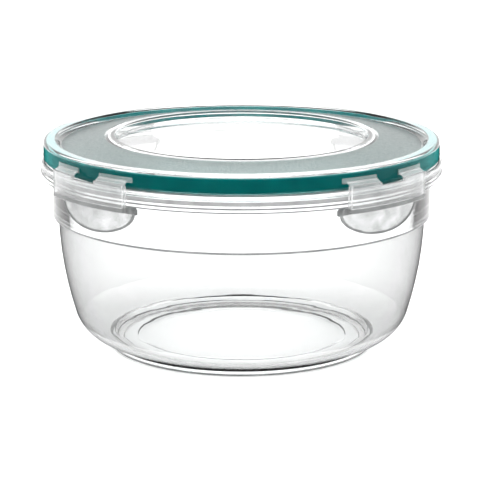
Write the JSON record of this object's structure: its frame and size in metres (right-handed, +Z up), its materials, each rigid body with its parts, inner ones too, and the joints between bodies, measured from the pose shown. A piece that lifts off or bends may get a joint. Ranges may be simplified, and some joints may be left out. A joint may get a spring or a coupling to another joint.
{
  "type": "snap lid food container",
  "caption": "Round clear bowl with a sealed clear lid held down by snap latches on living hinges.",
  "frame": {"origin": "on the axis, at the bottom of the foot ring", "axes": "+Z up along the axis, -Y the front; the latches are on the diagonals"},
  "size_m": [0.2024, 0.2024, 0.1075],
  "materials": {
    "bowl_plastic": "clear, polished",
    "lid_plastic": "clear, polished, with a frosted band",
    "seal_rubber": "satin silicone",
    "latch_plastic": "milky, translucent",
    "film_plastic": "milky, translucent"
  },
  "bodies": {
    "shut_box": {"bowl": "bowl_plastic", "lid": "lid_plastic", "seal": "seal_rubber", "hinge_film_front_left_left": "film_plastic", "hinge_film_front_left_right": "film_plastic", "hinge_film_front_right_left": "film_plastic", "hinge_film_front_right_right": "film_plastic", "hinge_film_rear_right_left": "film_plastic", "hinge_film_rear_right_right": "film_plastic", "hinge_film_rear_left_left": "film_plastic", "hinge_film_rear_left_right": "film_plastic"},
    "latch_front_left": {"latch_front_left": "latch_plastic"},
    "latch_front_right": {"latch_front_right": "latch_plastic"},
    "latch_rear_right": {"latch_rear_right": "latch_plastic"},
    "latch_rear_left": {"latch_rear_left": "latch_plastic"}
  },
  "joints": [
    {"name": "latch_front_left_hinge", "type": "hinge", "parent": "shut_box", "child": "latch_front_left", "pos_m": [-0.07085, -0.07085, 0.1004], "axis": [-0.7071, 0.7071, 0], "range_deg": [0, 110], "deforming": ["hinge_film_front_left_left", "hinge_film_front_left_right"]},
    {"name": "latch_front_right_hinge", "type": "hinge", "parent": "shut_box", "child": "latch_front_right", "pos_m": [0.07085, -0.07085, 0.1004], "axis": [-0.7071, -0.7071, 0], "range_deg": [0, 110], "deforming": ["hinge_film_front_right_left", "hinge_film_front_right_right"]},
    {"name": "latch_rear_right_hinge", "type": "hinge", "parent": "shut_box", "child": "latch_rear_right", "pos_m": [0.07085, 0.07085, 0.1004], "axis": [0.7071, -0.7071, 0], "range_deg": [0, 110], "deforming": ["hinge_film_rear_right_left", "hinge_film_rear_right_right"]},
    {"name": "latch_rear_left_hinge", "type": "hinge", "parent": "shut_box", "child": "latch_rear_left", "pos_m": [-0.07085, 0.07085, 0.1004], "axis": [0.7071, 0.7071, 0], "range_deg": [0, 110], "deforming": ["hinge_film_rear_left_left", "hinge_film_rear_left_right"]}
  ]
}
